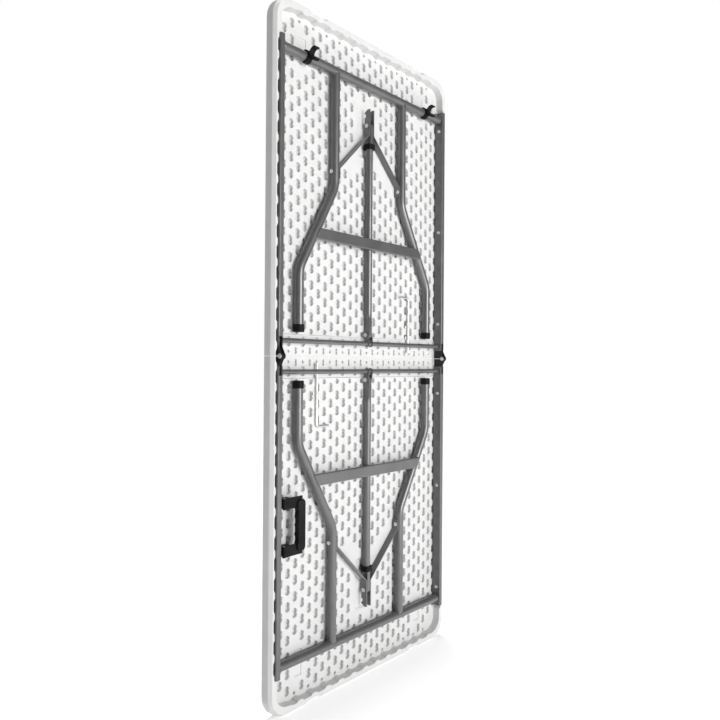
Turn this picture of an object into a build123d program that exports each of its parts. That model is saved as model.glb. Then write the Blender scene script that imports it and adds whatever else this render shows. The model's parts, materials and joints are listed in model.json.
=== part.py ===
"""Fold-in-half table: two blow-moulded panels on steel rails, with two folding leg frames.

The table stands on one short end, opened flat, with both leg frames folded against it.
+X runs across the table, +Y is the side of the working surface, +Z runs along its length.
Every half is described by its distance from the fold and its depth below the working surface.
"""

from build123d import *
import math
import os

# ---- driving dimensions, millimetres ----
TABLE_LENGTH = 1829.0
TABLE_WIDTH = 762.0

# Moulded panels. Depths are measured from the working surface towards the underside.
EDGE_DEPTH = 36.0
FIELD_DEPTH = 12.0
SKIN = 2.4
PANEL_GAP = 0.5
CORNER_R = 60.0
EDGE_ROUND = 6.0
SIDE_RIM = 12.0
END_RIM = 20.0
FIELD_CORNER_R = 42.0
NOTCH_X = 225.0
NOTCH_WIDTH = 56.0
NOTCH_DEPTH = 5.5
TROUGH_END = 58.0
TROUGH_DEPTH = 4.0
TROUGH_HALF_WIDTH = 351.0
POCKET_WIDTH = 64.0
POCKET_LENGTH = 150.0
POCKET_DEPTH = 5.5
POCKET_R = 10.0
CLIP_POCKET_START = 768.0
CLIP_POCKET_END = 840.0
CLIP_POCKET_WIDTH = 30.0
CLIP_POCKET_DEPTH = 3.0

# Steel rails.
RAIL_OUTER = 367.0
RAIL_WIDTH = 15.0
RAIL_T = 1.4
RAIL_DEPTH = 42.5
RAIL_BEND_R = 2.5
RAIL_WEB_START = 49.5
RAIL_WALL_START = 26.0
RAIL_END = 810.0
RAIL_SCREW_PLACES = (114.0, 416.0, 750.0)
RAIL_SCREW_DEPTH = 29.0

# Fold hinges.
FOLD_DEPTH = 45.0
LOBE_R = 8.5
HINGE_PIN_R = 4.0
HINGE_PLATE_T = 2.0
HINGE_GAP = 0.3
HINGE_PLATE_END = 105.0
HINGE_PLATE_LOW = 14.0
HINGE_SEAT_START = 21.0
SHOULDER = 24.0

# Crossbars beside the fold.
CROSSBAR_R = 6.5
CROSSBAR_WALL = 1.5
CROSSBAR_Z = 40.0
CROSSBAR_DEPTH = 27.0
WASHER_R = 10.0
WASHER_T = 1.5

# Leg frames.
TUBE_R = 12.7
TUBE_WALL = 1.2
LEG_DEPTH = 27.5
LEG_PIVOT_Z = 785.0
LEG_FOOT_Z = 66.0
LEG_INNER_X = 150.8
LEG_OUTER_X = 284.0
LEG_BEND_IN_Z = 465.0
LEG_BEND_OUT_Z = 230.0
LEG_BEND_R = 70.0
JOURNAL_R = 9.0
SHOULDER_GAP = 1.5
SHOULDER_ROUND = 2.5
RUNNING_FIT = 0.05
CAP_R = 14.6
CAP_LENGTH = 20.0
CAP_FLOOR = 3.0
CAP_ROUND = 1.2
BAR_Z = 327.0
BAR_HEIGHT = 32.0
BAR_T = 7.5
BAR_WALL = 1.2

# Struts and braces.
EAR_T = 2.5
EAR_R = 9.0
EAR_SEAT_R = 9.5
EAR_CLEARANCE = 0.8
EAR_WEB_T = 2.0
EAR_WEB_HEIGHT = 15.0
STRUT_R = 10.9
STRUT_WALL = 1.2
STRUT_DEPTH = 23.6
STRUT_PIVOT_Z = 65.0
PADDLE_T = 12.0
PADDLE_R = 10.0
PADDLE_LENGTH = 50.0
NECK_LENGTH = 10.0
BRACE_RIVET_Z = 507.0
STRAP_T = 3.0
STRAP_HEIGHT = 20.0
STRAP_INSIDE_X = 7.0
STRAP_TIP = 48.0
STRAP_PARALLEL = 27.0
STRAP_OUTSIDE_X = 137.4
STRAP_PAD = 14.0
STRAP_BEND_R = 6.0
STRAP_NOTCH_Z = 31.0
STRAP_NOTCH_LENGTH = 11.0
STRAP_NOTCH_DEPTH = 5.0
STRAP_NOTCH_R = 2.5
TIP_BEVEL_LENGTH = 9.0
TIP_BEVEL_HEIGHT = 12.0
BOLT_R = 3.5
BOLT_HEAD_R = 6.5
BOLT_HEAD = 3.5
RING_LENGTH = 15.0
RING_TO_BOLT = 53.0
RING_WALL = 3.0
RING_HALF_X = 11.3
RING_HALF_DEPTH = 11.4
RING_CORNER_R = 8.0
RING_BORE_CORNER_R = 1.5

# Clips that hold the folded halves together.
CLIP_X = 264.0
CLIP_WIDTH = 16.0
JAW_WALL = 4.5
JAW_CLEARANCE = 0.3
JAW_LIP = 5.5
JAW_WEB = 17.0
JAW_TIP_ROUND = 1.5

# Sliding rods that lock the fold.
ROD_R = 3.5
ROD_X = 204.0
ROD_DEPTH = 16.2
ROD_TIP_Z = 17.0
ROD_FOOT_Z = 188.0
ROD_FOOT = 46.0
ROD_BEND_R = 8.0
GUIDE_PLACES = (64.0, 98.0)
GUIDE_LENGTH = 9.0
GUIDE_WALL = 2.2
GUIDE_CLEARANCE = 0.3

# Carrying handle.
HANDLE_AXIS_X = -346.5
HANDLE_Z = 432.0
HANDLE_LENGTH = 148.0
HANDLE_REACH = 69.0
HANDLE_ARM = 28.0
HANDLE_ARM_T = 4.4
GRIP_WIDTH = 28.0
GRIP_T = 16.0
BARREL_R = 4.5
BARREL_LENGTH = 9.0
BARREL_GAP = 0.3
HANDLE_PIN_R = 2.0
GRIP_R = 11.0
GRIP_ROUND = 3.0
GRIP_SHORTER = 16.0
FINGERS = 4
FINGER_SAGITTA = 2.4
LUG_REACH = 34.0
LUG_TOP_DEPTH = 39.0
LUG_BASE_DEPTH = 20.0

# Rivets and screws.
RIVET_R = 5.5
RIVET_HEAD = 2.5
SHANK_R = 3.0

# ---- worked-out places ----
FOLD_Z = TABLE_LENGTH / 2
HALF_LENGTH = TABLE_LENGTH / 2
RAIL_INNER = RAIL_OUTER - RAIL_WIDTH
RAIL_MIDDLE = RAIL_OUTER - RAIL_WIDTH / 2
CLIP_PITCH = 2 * (FOLD_DEPTH - LEG_DEPTH)
TOTAL_DEPTH = LEG_DEPTH + CLIP_PITCH + JAW_LIP
TOP_Y = TOTAL_DEPTH / 2
BAR_DEPTH = RAIL_DEPTH - BAR_T / 2
PLATE_INSIDE = RAIL_INNER + RAIL_T
PLATE_OUTSIDE = RAIL_OUTER - RAIL_T

# With the leg square to the panel, strut and brace lie in one straight line from the strut's
# pivot to the brace's rivet. That line's length and the folded one give both lengths.
STRAIGHT = math.hypot(
    LEG_PIVOT_Z - STRUT_PIVOT_Z, LEG_PIVOT_Z - BRACE_RIVET_Z + LEG_DEPTH - STRUT_DEPTH
)
FOLDED = BRACE_RIVET_Z - STRUT_PIVOT_Z
STRUT_LENGTH = (STRAIGHT + FOLDED) / 2
BRACE_LENGTH = (STRAIGHT - FOLDED) / 2
BRACE_BOLT_Z = STRUT_PIVOT_Z + STRUT_LENGTH
STRUT_SWING = math.degrees(
    math.atan2(LEG_PIVOT_Z - BRACE_RIVET_Z + LEG_DEPTH - STRUT_DEPTH, LEG_PIVOT_Z - STRUT_PIVOT_Z)
)

HALVES = {"lower": -1, "upper": 1}
SIDES = {"left": -1, "right": 1}


def face_plane(depth):
    """Plane parallel to the table: local x is X, local y is Z counted from the fold."""
    return Plane(origin=(0, TOP_Y - depth, FOLD_Z), x_dir=(1, 0, 0), z_dir=(0, -1, 0))


def side_plane(half, x=0.0):
    """Plane across the table: local x is the distance from the fold, local y the depth."""
    return Plane(origin=(x, TOP_Y, FOLD_Z), x_dir=(0, 0, half), z_dir=(half, 0, 0))


def end_plane(half, from_fold, depth=0.0):
    """Plane square to the table's length, facing away from the fold."""
    origin = (0, TOP_Y - depth, FOLD_Z + half * from_fold)
    return Plane(origin=origin, x_dir=(1, 0, 0), z_dir=(0, 0, half))


def across(x, depth, from_fold, half):
    """Location on the table whose local Z runs along +X."""
    return Location((x, TOP_Y - depth, FOLD_Z + half * from_fold), (0, 90, 0))


def save(builder, name):
    """Label a finished piece and write it."""
    builder.part.label = name
    export_step(builder.part, f"parts/{name}.step")


def drill(radius, length, x, depth, from_fold, half):
    """Cut a round hole along X through the part being built."""
    with Locations(across(x, depth, from_fold, half)):
        Cylinder(radius, length, mode=Mode.SUBTRACT)


def rod_between(radius, x_start, x_end, depth, from_fold, half):
    """Add a round bar along X between two places across the table."""
    with Locations(across((x_start + x_end) / 2, depth, from_fold, half)):
        Cylinder(radius, abs(x_end - x_start))


def make_panel(half, name):
    """Twin-walled hollow panel: a deep rim on three sides around a shallow field."""
    body_length = HALF_LENGTH - PANEL_GAP
    middle = half * (PANEL_GAP + body_length / 2)
    field_end = HALF_LENGTH - END_RIM
    rail_field_end = RAIL_END + 6.0
    pocket_middle = BRACE_BOLT_Z - STRAP_PARALLEL / 2
    clip_pocket_middle = (CLIP_POCKET_START + CLIP_POCKET_END) / 2
    clip_pocket_length = CLIP_POCKET_END - CLIP_POCKET_START
    clip_places = [(side * CLIP_X, half * clip_pocket_middle) for side in SIDES.values()]
    air_start = TROUGH_END + SKIN
    air_end = field_end - SKIN
    trough_air_start = PANEL_GAP + SKIN
    trough_air_end = TROUGH_END
    air_width = TABLE_WIDTH - 2 * (END_RIM + SKIN)
    rim_air_end = HALF_LENGTH - CORNER_R
    rim_air_depth = EDGE_DEPTH - 2 * SKIN
    rim_air = SIDE_RIM - 2 * SKIN
    end_air = END_RIM - NOTCH_DEPTH - 2 * SKIN
    with BuildPart() as panel:
        with BuildSketch(face_plane(0)) as outline:
            with Locations((0, middle)):
                Rectangle(TABLE_WIDTH, body_length)
            fillet(outline.vertices().filter_by(lambda v: abs(v.Y) > PANEL_GAP + 1), CORNER_R)
            with Locations((-NOTCH_X, half * HALF_LENGTH), (NOTCH_X, half * HALF_LENGTH)):
                Rectangle(NOTCH_WIDTH, 2 * NOTCH_DEPTH, mode=Mode.SUBTRACT)
        extrude(amount=EDGE_DEPTH)
        for face in (panel.faces().sort_by(Axis.Y)[0], panel.faces().sort_by(Axis.Y)[-1]):
            rim_edges = face.edges().filter_by(lambda e: abs(e.center().Z - FOLD_Z) > 2)
            fillet(rim_edges, EDGE_ROUND if face.center().Y > 0 else EDGE_ROUND - 2)
        with BuildSketch(face_plane(FIELD_DEPTH)) as field:
            with Locations((0, half * rail_field_end / 2)):
                Rectangle(TABLE_WIDTH - 2 * SIDE_RIM, rail_field_end)
            with Locations((0, half * field_end / 2)):
                Rectangle(TABLE_WIDTH - 2 * END_RIM, field_end)
            far = field.vertices().filter_by(lambda v: abs(v.Y) > field_end - 1)
            fillet(far, FIELD_CORNER_R)
        extrude(amount=EDGE_DEPTH, mode=Mode.SUBTRACT)
        with BuildSketch(face_plane(FIELD_DEPTH)):
            with Locations((0, half * TROUGH_END / 2)):
                Rectangle(2 * TROUGH_HALF_WIDTH, TROUGH_END)
        extrude(amount=-TROUGH_DEPTH, mode=Mode.SUBTRACT)
        with BuildSketch(face_plane(FIELD_DEPTH)):
            with Locations((0, half * pocket_middle)):
                RectangleRounded(POCKET_WIDTH, POCKET_LENGTH, POCKET_R)
        extrude(amount=-POCKET_DEPTH, mode=Mode.SUBTRACT)
        with BuildSketch(face_plane(FIELD_DEPTH)):
            with Locations(*clip_places):
                RectangleRounded(CLIP_POCKET_WIDTH, clip_pocket_length, CLIP_POCKET_DEPTH)
        extrude(amount=-CLIP_POCKET_DEPTH, mode=Mode.SUBTRACT)
        with BuildSketch(face_plane(SKIN)):
            with Locations((0, half * (air_start + air_end) / 2)):
                Rectangle(air_width, air_end - air_start)
            with Locations((0, half * pocket_middle)):
                Rectangle(POCKET_WIDTH + 2 * SKIN, POCKET_LENGTH + 2 * SKIN, mode=Mode.SUBTRACT)
            with Locations(*clip_places):
                Rectangle(
                    CLIP_POCKET_WIDTH + 2 * SKIN, clip_pocket_length + 2 * SKIN, mode=Mode.SUBTRACT
                )
        extrude(amount=FIELD_DEPTH - 2 * SKIN, mode=Mode.SUBTRACT)
        with BuildSketch(face_plane(SKIN)):
            with Locations((0, half * (trough_air_start + trough_air_end) / 2)):
                Rectangle(air_width, trough_air_end - trough_air_start)
        extrude(amount=FIELD_DEPTH - TROUGH_DEPTH - 2 * SKIN, mode=Mode.SUBTRACT)
        rim_x = TABLE_WIDTH / 2 - SIDE_RIM / 2
        with BuildSketch(face_plane(SKIN)):
            rim_middle = half * (trough_air_start + rim_air_end) / 2
            with Locations((-rim_x, rim_middle), (rim_x, rim_middle)):
                Rectangle(rim_air, rim_air_end - trough_air_start)
            with Locations((0, half * (field_end + SKIN + end_air / 2))):
                Rectangle(TABLE_WIDTH - 2 * CORNER_R, end_air)
        extrude(amount=rim_air_depth, mode=Mode.SUBTRACT)
    save(panel, name)


def make_rail(half, side, name):
    """Channel open towards the panel, with holes for the crossbar, the leg pivot and screws."""
    long_middle = (RAIL_WALL_START + RAIL_END) / 2
    depth_middle = (FIELD_DEPTH + RAIL_DEPTH) / 2
    length = RAIL_END - RAIL_WALL_START
    height = RAIL_DEPTH - FIELD_DEPTH
    with BuildPart() as rail:
        with BuildSketch(side_plane(half, side * RAIL_MIDDLE)):
            with Locations((long_middle, depth_middle)):
                Rectangle(length, height)
        extrude(amount=RAIL_WIDTH / 2, both=True)
        fillet(rail.edges().filter_by(Axis.Z).group_by(Axis.Y)[0], RAIL_BEND_R)
        with BuildSketch(side_plane(half, side * RAIL_MIDDLE)):
            with Locations((long_middle, depth_middle - RAIL_T)):
                Rectangle(length, height)
            with Locations(((RAIL_WALL_START + RAIL_WEB_START) / 2, RAIL_DEPTH)):
                Rectangle(RAIL_WEB_START - RAIL_WALL_START, 4 * RAIL_T)
        extrude(amount=RAIL_WIDTH / 2 - RAIL_T, both=True, mode=Mode.SUBTRACT)
        drill(CROSSBAR_R, RAIL_WIDTH + 2, side * RAIL_MIDDLE, CROSSBAR_DEPTH, CROSSBAR_Z, half)
        bearing_r = JOURNAL_R + RUNNING_FIT
        drill(bearing_r, RAIL_WIDTH + 2, side * RAIL_MIDDLE, LEG_DEPTH, LEG_PIVOT_Z, half)
        for place in RAIL_SCREW_PLACES:
            drill(SHANK_R, 4 * RAIL_T, side * RAIL_INNER, RAIL_SCREW_DEPTH, place, half)
    save(rail, name)


def make_rail_screws(half, name):
    """Screws through the inner walls of both rails."""
    with BuildPart() as screws:
        for side in SIDES.values():
            for place in RAIL_SCREW_PLACES:
                inside = side * RAIL_INNER
                head = side * (RAIL_INNER - RIVET_HEAD)
                tip = side * (RAIL_INNER + RAIL_T)
                rod_between(RIVET_R, head, inside, RAIL_SCREW_DEPTH, place, half)
                rod_between(SHANK_R, inside, tip, RAIL_SCREW_DEPTH, place, half)
        caps = screws.faces().filter_by(Axis.X).filter_by(
            lambda f: abs(abs(f.center().X) - RAIL_INNER + RIVET_HEAD) < 0.1
        )
        fillet(caps.edges(), RIVET_HEAD * 0.6)
    save(screws, name)


def make_crossbar(half, name):
    """Round tube from rail to rail, closed over a washer at each end."""
    with BuildPart() as bar:
        rod_between(CROSSBAR_R, -RAIL_OUTER, RAIL_OUTER, CROSSBAR_DEPTH, CROSSBAR_Z, half)
        for side in SIDES.values():
            outside = side * (RAIL_OUTER + WASHER_T)
            rod_between(WASHER_R, side * RAIL_OUTER, outside, CROSSBAR_DEPTH, CROSSBAR_Z, half)
        bore = CROSSBAR_R - CROSSBAR_WALL
        drill(bore, 2 * RAIL_OUTER, 0, CROSSBAR_DEPTH, CROSSBAR_Z, half)
    save(bar, name)


def make_hinge_bracket(half, side, name):
    """Pair of plates inside a rail, with lobes around the fold's pin."""
    # The lower half's lobes lie between the upper half's.
    step = 0.0 if half > 0 else HINGE_PLATE_T + HINGE_GAP
    bore = HINGE_PIN_R + (RUNNING_FIT if half > 0 else 0.0)
    seat_low = HINGE_PLATE_LOW
    seat_high = RAIL_DEPTH - RAIL_T
    with BuildPart() as bracket:
        for face, inward in ((PLATE_INSIDE, 1), (PLATE_OUTSIDE, -1)):
            lobe_x = side * (face + inward * (step + HINGE_PLATE_T / 2))
            with BuildSketch(side_plane(half, lobe_x)):
                with BuildLine():
                    Polyline(
                        (PANEL_GAP + 0.5, seat_low),
                        (SHOULDER, seat_low),
                        (SHOULDER, seat_high),
                        (LOBE_R * 0.75, FOLD_DEPTH + LOBE_R * 0.66),
                        (PANEL_GAP + 0.5, FOLD_DEPTH),
                        close=True,
                    )
                make_face()
                with Locations((0, FOLD_DEPTH)):
                    Circle(LOBE_R)
                    Circle(bore, mode=Mode.SUBTRACT)
            extrude(amount=HINGE_PLATE_T / 2, both=True)
            seat_t = HINGE_PLATE_T + step
            seat_x = side * (face + inward * seat_t / 2)
            with BuildSketch(side_plane(half, seat_x)):
                with Locations(
                    ((HINGE_SEAT_START + HINGE_PLATE_END) / 2, (seat_low + seat_high) / 2)
                ):
                    Rectangle(HINGE_PLATE_END - HINGE_SEAT_START, seat_high - seat_low)
            extrude(amount=seat_t / 2, both=True)
        drill(CROSSBAR_R, RAIL_WIDTH + 2, side * RAIL_MIDDLE, CROSSBAR_DEPTH, CROSSBAR_Z, half)
    save(bracket, name)


def make_hinge_pin(side, name):
    """Rivet on the fold's axis through the four plates of one hinge."""
    inner = PLATE_INSIDE - HINGE_GAP
    outer = PLATE_OUTSIDE + HINGE_GAP
    with BuildPart() as pin:
        rod_between(HINGE_PIN_R, side * inner, side * outer, FOLD_DEPTH, 0, 1)
        for start, end in ((inner - RIVET_HEAD, inner), (outer, outer + RIVET_HEAD)):
            rod_between(RIVET_R + 1.0, side * start, side * end, FOLD_DEPTH, 0, 1)
        ends = [pin.faces().sort_by(Axis.X)[0], pin.faces().sort_by(Axis.X)[-1]]
        fillet([edge for face in ends for edge in face.edges()], RIVET_HEAD * 0.7)
    save(pin, name)


def make_cross_tube(half, name):
    """Tube between the rails that the leg frame turns on, necked down at both ends."""
    shoulder = RAIL_INNER - SHOULDER_GAP
    with BuildPart() as tube:
        rod_between(TUBE_R, -shoulder, shoulder, LEG_DEPTH, LEG_PIVOT_Z, half)
        fillet(tube.edges(), SHOULDER_ROUND)
        rod_between(JOURNAL_R, -RAIL_OUTER, RAIL_OUTER, LEG_DEPTH, LEG_PIVOT_Z, half)
        wide_bore = 2 * (shoulder - 2 * SHOULDER_ROUND)
        drill(TUBE_R - TUBE_WALL, wide_bore, 0, LEG_DEPTH, LEG_PIVOT_Z, half)
        drill(JOURNAL_R - TUBE_WALL, 2 * RAIL_OUTER + 2, 0, LEG_DEPTH, LEG_PIVOT_Z, half)
    save(tube, name)


def leg_points(half, side):
    """Corners of a leg's centre line, from the cross tube to the foot."""
    corners = (
        (LEG_INNER_X, LEG_PIVOT_Z),
        (LEG_INNER_X, LEG_BEND_IN_Z),
        (LEG_OUTER_X, LEG_BEND_OUT_Z),
        (LEG_OUTER_X, LEG_FOOT_Z),
    )
    return [(side * x, half * z) for x, z in corners]


def make_leg_tube(half, side, name):
    """Round tube bent outward and back, coped where it meets the cross tube."""
    with BuildPart() as leg:
        with BuildLine(face_plane(LEG_DEPTH)) as route:
            FilletPolyline(*leg_points(half, side), radius=LEG_BEND_R)
        with BuildSketch(Plane(origin=route.line @ 0, z_dir=route.line % 0)):
            Circle(TUBE_R)
            Circle(TUBE_R - TUBE_WALL, mode=Mode.SUBTRACT)
        sweep(path=route.line)
        drill(TUBE_R, 4 * TUBE_R, side * LEG_INNER_X, LEG_DEPTH, LEG_PIVOT_Z, half)
        drill(SHANK_R, 4 * TUBE_R, side * LEG_INNER_X, LEG_DEPTH, BRACE_RIVET_Z, half)
    save(leg, name)


def make_leg_bar(half, name):
    """Flattened tube across both legs, cut along their slope and coped over them."""
    run = LEG_BEND_IN_Z - LEG_BEND_OUT_Z
    slope = (LEG_OUTER_X - LEG_INNER_X) / run
    top = BAR_Z + BAR_HEIGHT / 2
    bottom = BAR_Z - BAR_HEIGHT / 2
    top_x = LEG_INNER_X + slope * (LEG_BEND_IN_Z - top)
    bottom_x = LEG_INNER_X + slope * (LEG_BEND_IN_Z - bottom)
    with BuildPart() as bar:
        with BuildSketch(face_plane(BAR_DEPTH)):
            with BuildLine():
                Polyline(
                    (-bottom_x, half * bottom),
                    (bottom_x, half * bottom),
                    (top_x, half * top),
                    (-top_x, half * top),
                    close=True,
                )
            make_face()
        extrude(amount=BAR_T / 2, both=True)
        fillet(bar.edges().filter_by(Axis.X), BAR_T / 2 - 0.3)
        with BuildSketch(side_plane(half)):
            with Locations((BAR_Z, BAR_DEPTH)):
                Rectangle(BAR_HEIGHT - 4 * BAR_WALL, BAR_T - 2 * BAR_WALL)
        extrude(amount=top_x - TUBE_R - BAR_T, both=True, mode=Mode.SUBTRACT)
        for side in SIDES.values():
            with BuildLine(face_plane(LEG_DEPTH)) as route:
                FilletPolyline(*leg_points(half, side), radius=LEG_BEND_R)
            with BuildSketch(Plane(origin=route.line @ 0, z_dir=route.line % 0)):
                Circle(TUBE_R)
            sweep(path=route.line, mode=Mode.SUBTRACT)
    save(bar, name)


def make_foot_cap(half, side, name):
    """Moulded cup over the open end of a leg."""
    start = LEG_FOOT_Z - CAP_FLOOR
    with BuildPart() as cap:
        with BuildSketch(end_plane(half, start, LEG_DEPTH)):
            with Locations((side * LEG_OUTER_X, 0)):
                Circle(CAP_R)
        extrude(amount=CAP_LENGTH)
        fillet(cap.edges(), CAP_ROUND)
        with BuildSketch(end_plane(half, LEG_FOOT_Z, LEG_DEPTH)):
            with Locations((side * LEG_OUTER_X, 0)):
                Circle(TUBE_R)
        extrude(amount=CAP_LENGTH, mode=Mode.SUBTRACT)
    save(cap, name)


def make_leg_rivets(half, name):
    """Rivets through both legs that the brace's straps hang on."""
    outside = LEG_INNER_X + TUBE_R
    inside = LEG_INNER_X - TUBE_R
    with BuildPart() as rivets:
        for side in SIDES.values():
            rod_between(SHANK_R, side * inside, side * outside, LEG_DEPTH, BRACE_RIVET_Z, half)
            head = side * (outside + RIVET_HEAD)
            rod_between(RIVET_R, side * outside, head, LEG_DEPTH, BRACE_RIVET_Z, half)
    save(rivets, name)


def make_strut(half, name):
    """Round strut, flattened and drilled at both ends."""
    tube_start = STRUT_PIVOT_Z + PADDLE_LENGTH + NECK_LENGTH
    tube_end = BRACE_BOLT_Z - PADDLE_LENGTH - NECK_LENGTH
    with BuildPart() as strut:
        with BuildSketch(end_plane(half, tube_start, STRUT_DEPTH)):
            Circle(STRUT_R)
            Circle(STRUT_R - STRUT_WALL, mode=Mode.SUBTRACT)
        extrude(amount=tube_end - tube_start)
        for place, towards in ((STRUT_PIVOT_Z, 1), (BRACE_BOLT_Z, -1)):
            with BuildSketch(side_plane(half)):
                with Locations((place, STRUT_DEPTH)):
                    Circle(PADDLE_R)
                with Locations((place + towards * PADDLE_LENGTH / 2, STRUT_DEPTH)):
                    Rectangle(PADDLE_LENGTH, 2 * PADDLE_R)
            extrude(amount=PADDLE_T / 2, both=True)
            neck = place + towards * PADDLE_LENGTH
            with BuildSketch(end_plane(half, neck, STRUT_DEPTH)):
                RectangleRounded(PADDLE_T, 2 * PADDLE_R, 2.0)
            with BuildSketch(end_plane(half, neck + towards * NECK_LENGTH, STRUT_DEPTH)):
                Circle(STRUT_R)
            loft()
            drill(BOLT_R + RUNNING_FIT, 2 * PADDLE_T, 0, STRUT_DEPTH, place, half)
    save(strut, name)


def make_strut_clevis(half, name):
    """Two ears welded on the crossbar, joined by a web, that hold the strut's bolt."""
    ear_x = PADDLE_T / 2 + EAR_CLEARANCE + EAR_T / 2
    web_z = CROSSBAR_Z + CROSSBAR_R + EAR_WEB_T
    with BuildPart() as clevis:
        for side in SIDES.values():
            with BuildSketch(side_plane(half, side * ear_x)):
                with Locations((STRUT_PIVOT_Z, STRUT_DEPTH)):
                    Circle(EAR_R)
                with Locations((CROSSBAR_Z, CROSSBAR_DEPTH)):
                    Circle(EAR_SEAT_R)
                make_hull()
            extrude(amount=EAR_T / 2, both=True)
        with BuildSketch(side_plane(half)):
            with Locations((web_z, CROSSBAR_DEPTH)):
                Rectangle(EAR_WEB_T, EAR_WEB_HEIGHT)
        extrude(amount=ear_x, both=True)
        drill(CROSSBAR_R, 4 * ear_x, 0, CROSSBAR_DEPTH, CROSSBAR_Z, half)
        drill(BOLT_R, 4 * ear_x, 0, STRUT_DEPTH, STRUT_PIVOT_Z, half)
    save(clevis, name)


def make_bolt(half, grip_x, depth, from_fold, name):
    """Bolt along X with a six-sided head and a round nut."""
    with BuildPart() as bolt:
        rod_between(BOLT_R, -grip_x, grip_x, depth, from_fold, half)
        with BuildSketch(side_plane(half, -grip_x - BOLT_HEAD / 2)):
            with Locations((from_fold, depth)):
                RegularPolygon(BOLT_HEAD_R, 6)
        extrude(amount=BOLT_HEAD / 2, both=True)
        rod_between(BOLT_HEAD_R, grip_x, grip_x + BOLT_HEAD, depth, from_fold, half)
        nut_edge = bolt.faces().sort_by(Axis.X)[-1].edges()
        fillet(nut_edge, BOLT_HEAD * 0.5)
    save(bolt, name)


def make_strap(half, side, name):
    """Brace strap on edge: parallel at the bolt, then slanting out to the leg."""
    tip_z = BRACE_BOLT_Z + STRAP_TIP
    split_z = BRACE_BOLT_Z - STRAP_PARALLEL
    pad_top = BRACE_RIVET_Z + STRAP_PAD
    pad_end = BRACE_RIVET_Z - STRAP_PAD
    centre_in = STRAP_INSIDE_X + STRAP_T / 2
    centre_out = STRAP_OUTSIDE_X - STRAP_T / 2
    notch_z = BRACE_BOLT_Z + STRAP_NOTCH_Z
    low = STRUT_DEPTH - STRAP_HEIGHT / 2
    with BuildPart() as strap:
        with BuildLine(face_plane(STRUT_DEPTH)) as centre:
            FilletPolyline(
                (side * centre_in, half * tip_z),
                (side * centre_in, half * split_z),
                (side * centre_out, half * pad_top),
                (side * centre_out, half * pad_end),
                radius=STRAP_BEND_R,
            )
        with BuildSketch(end_plane(half, tip_z, STRUT_DEPTH)):
            with Locations((side * centre_in, 0)):
                Rectangle(STRAP_T, STRAP_HEIGHT)
        sweep(path=centre.line)
        drill(BOLT_R, 8 * STRAP_T, side * centre_in, STRUT_DEPTH, BRACE_BOLT_Z, half)
        with BuildSketch(side_plane(half, side * centre_in)):
            with Locations((notch_z, low)):
                RectangleRounded(STRAP_NOTCH_LENGTH, 2 * STRAP_NOTCH_DEPTH, STRAP_NOTCH_R)
            with BuildLine():
                Polyline(
                    (tip_z + 1, low - 1),
                    (tip_z - TIP_BEVEL_LENGTH, low - 1),
                    (tip_z + 1, low + TIP_BEVEL_HEIGHT),
                    close=True,
                )
            make_face()
        extrude(amount=2 * STRAP_T, both=True, mode=Mode.SUBTRACT)
        drill(SHANK_R, 8 * STRAP_T, side * centre_out, LEG_DEPTH, BRACE_RIVET_Z, half)
    save(strap, name)


def make_brace_rivets(half, name):
    """Rivet heads and shanks at the outer ends of the brace's straps."""
    outer = STRAP_OUTSIDE_X
    inner = STRAP_OUTSIDE_X - STRAP_T
    with BuildPart() as rivets:
        for side in SIDES.values():
            rod_between(SHANK_R, side * inner, side * outer, LEG_DEPTH, BRACE_RIVET_Z, half)
            head = side * (inner - RIVET_HEAD)
            rod_between(RIVET_R, side * inner, head, LEG_DEPTH, BRACE_RIVET_Z, half)
    save(rivets, name)


def make_lock_ring(half, name):
    """Collar on the strut that slides over the brace's tips when the leg stands."""
    with BuildPart() as ring:
        start = BRACE_BOLT_Z - RING_TO_BOLT - RING_LENGTH
        width = 2 * (RING_HALF_X + RING_WALL)
        height = 2 * (RING_HALF_DEPTH + RING_WALL)
        with BuildSketch(end_plane(half, start, STRUT_DEPTH)):
            RectangleRounded(width, height, RING_CORNER_R)
            RectangleRounded(
                2 * RING_HALF_X, 2 * RING_HALF_DEPTH, RING_BORE_CORNER_R, mode=Mode.SUBTRACT
            )
        extrude(amount=RING_LENGTH)
        fillet(ring.faces().sort_by(Axis.Z)[0].outer_wire().edges(), 1.0)
    save(ring, name)


def make_clip(side, name):
    """Double snap clip: one jaw on its own cross tube, one open for the other half's."""
    own_r = TUBE_R
    far_r = TUBE_R + JAW_CLEARANCE
    far_depth = LEG_DEPTH + CLIP_PITCH
    with BuildPart() as clip:
        with BuildSketch(side_plane(1, side * CLIP_X)) as profile:
            with Locations((LEG_PIVOT_Z, LEG_DEPTH)):
                Circle(own_r + JAW_WALL)
            with Locations((LEG_PIVOT_Z, far_depth)):
                Circle(far_r + JAW_WALL)
            with Locations((LEG_PIVOT_Z, (LEG_DEPTH + far_depth) / 2)):
                Rectangle(JAW_WEB, CLIP_PITCH)
            with Locations((LEG_PIVOT_Z, LEG_DEPTH)):
                Circle(own_r, mode=Mode.SUBTRACT)
            with Locations((LEG_PIVOT_Z, far_depth)):
                Circle(far_r, mode=Mode.SUBTRACT)
            with Locations((LEG_PIVOT_Z, LEG_DEPTH - JAW_LIP - TUBE_R)):
                Rectangle(4 * TUBE_R, 2 * TUBE_R, mode=Mode.SUBTRACT)
            with Locations((LEG_PIVOT_Z, far_depth + JAW_LIP + TUBE_R)):
                Rectangle(4 * TUBE_R, 2 * TUBE_R, mode=Mode.SUBTRACT)
            tips = profile.vertices().filter_by(
                lambda v: v.Y < LEG_DEPTH - JAW_LIP + 0.1 or v.Y > far_depth + JAW_LIP - 0.1
            )
            fillet(tips, JAW_TIP_ROUND)
        extrude(amount=CLIP_WIDTH / 2, both=True)
    save(clip, name)


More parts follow.
